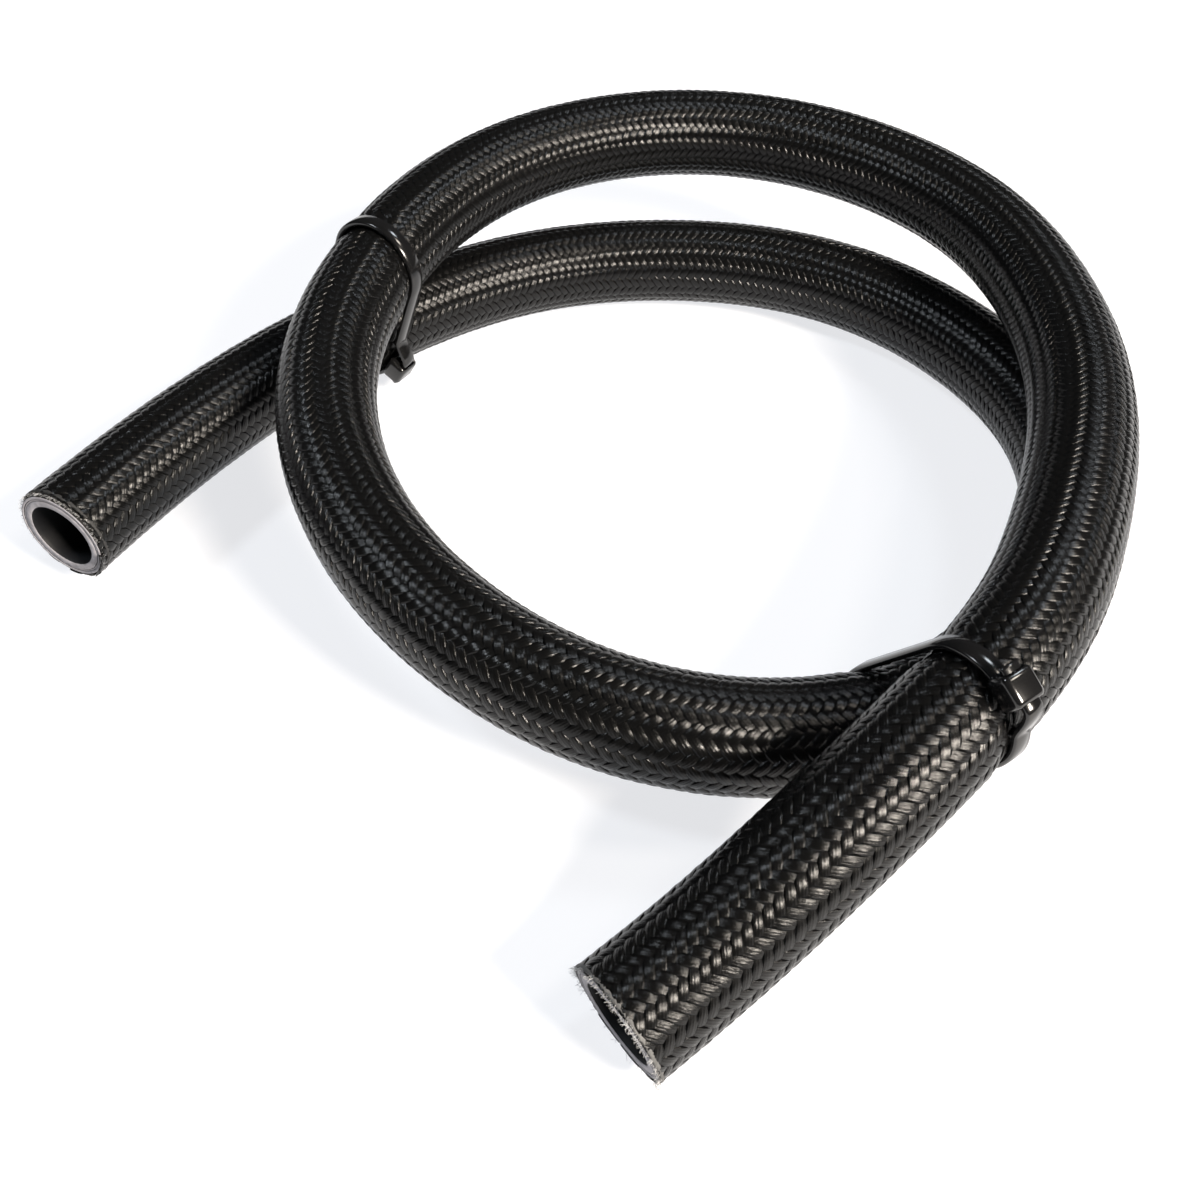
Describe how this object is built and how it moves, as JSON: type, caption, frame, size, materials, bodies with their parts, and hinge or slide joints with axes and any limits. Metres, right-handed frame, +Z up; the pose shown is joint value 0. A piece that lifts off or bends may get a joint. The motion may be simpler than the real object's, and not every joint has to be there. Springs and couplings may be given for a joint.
{
  "type": "hydraulic hose",
  "caption": "One metre of flexible nylon-braided pressure hose with bare cut ends, looped and held where it crosses itself by nylon cable ties.",
  "frame": {"origin": "on the floor, under the middle of the coil's bounding box", "axes": "+Z up from the floor the coil lies on; both cut ends point roughly along -Y, the first end at -X and the second end at +X"},
  "size_m": [0.198, 0.2167, 0.047],
  "materials": {
    "liner": "matt extruded nitrile rubber, dusty where cut",
    "wire": "fine braided wire",
    "cover": "matt rubber skim",
    "braid": "black nylon multifilament, soft sheen",
    "tie": "smooth moulded nylon"
  },
  "bodies": {
    "hose": {"inner_tube": "liner", "wire_braid": "wire", "rubber_cover": "cover", "nylon_braid": "braid", "front_tie_strap": "tie", "back_tie_strap": "tie"},
    "front_pawl": {"front_tie_pawl": "tie"},
    "back_pawl": {"back_tie_pawl": "tie"}
  },
  "joints": [
    {"name": "front_pawl_hinge", "type": "hinge", "parent": "hose", "child": "front_pawl", "pos_m": [0.09519, -0.03264, 0.04021], "axis": [-0.178, -0.9839, -0.013], "range_deg": [0, 10], "stiffness_Nm_per_rad": 0.002},
    {"name": "back_pawl_hinge", "type": "hinge", "parent": "hose", "child": "back_pawl", "pos_m": [-0.07341, -0.01625, 0.0085], "axis": [-0.2189, 0.9757, -0.008], "range_deg": [0, 10], "stiffness_Nm_per_rad": 0.002}
  ]
}
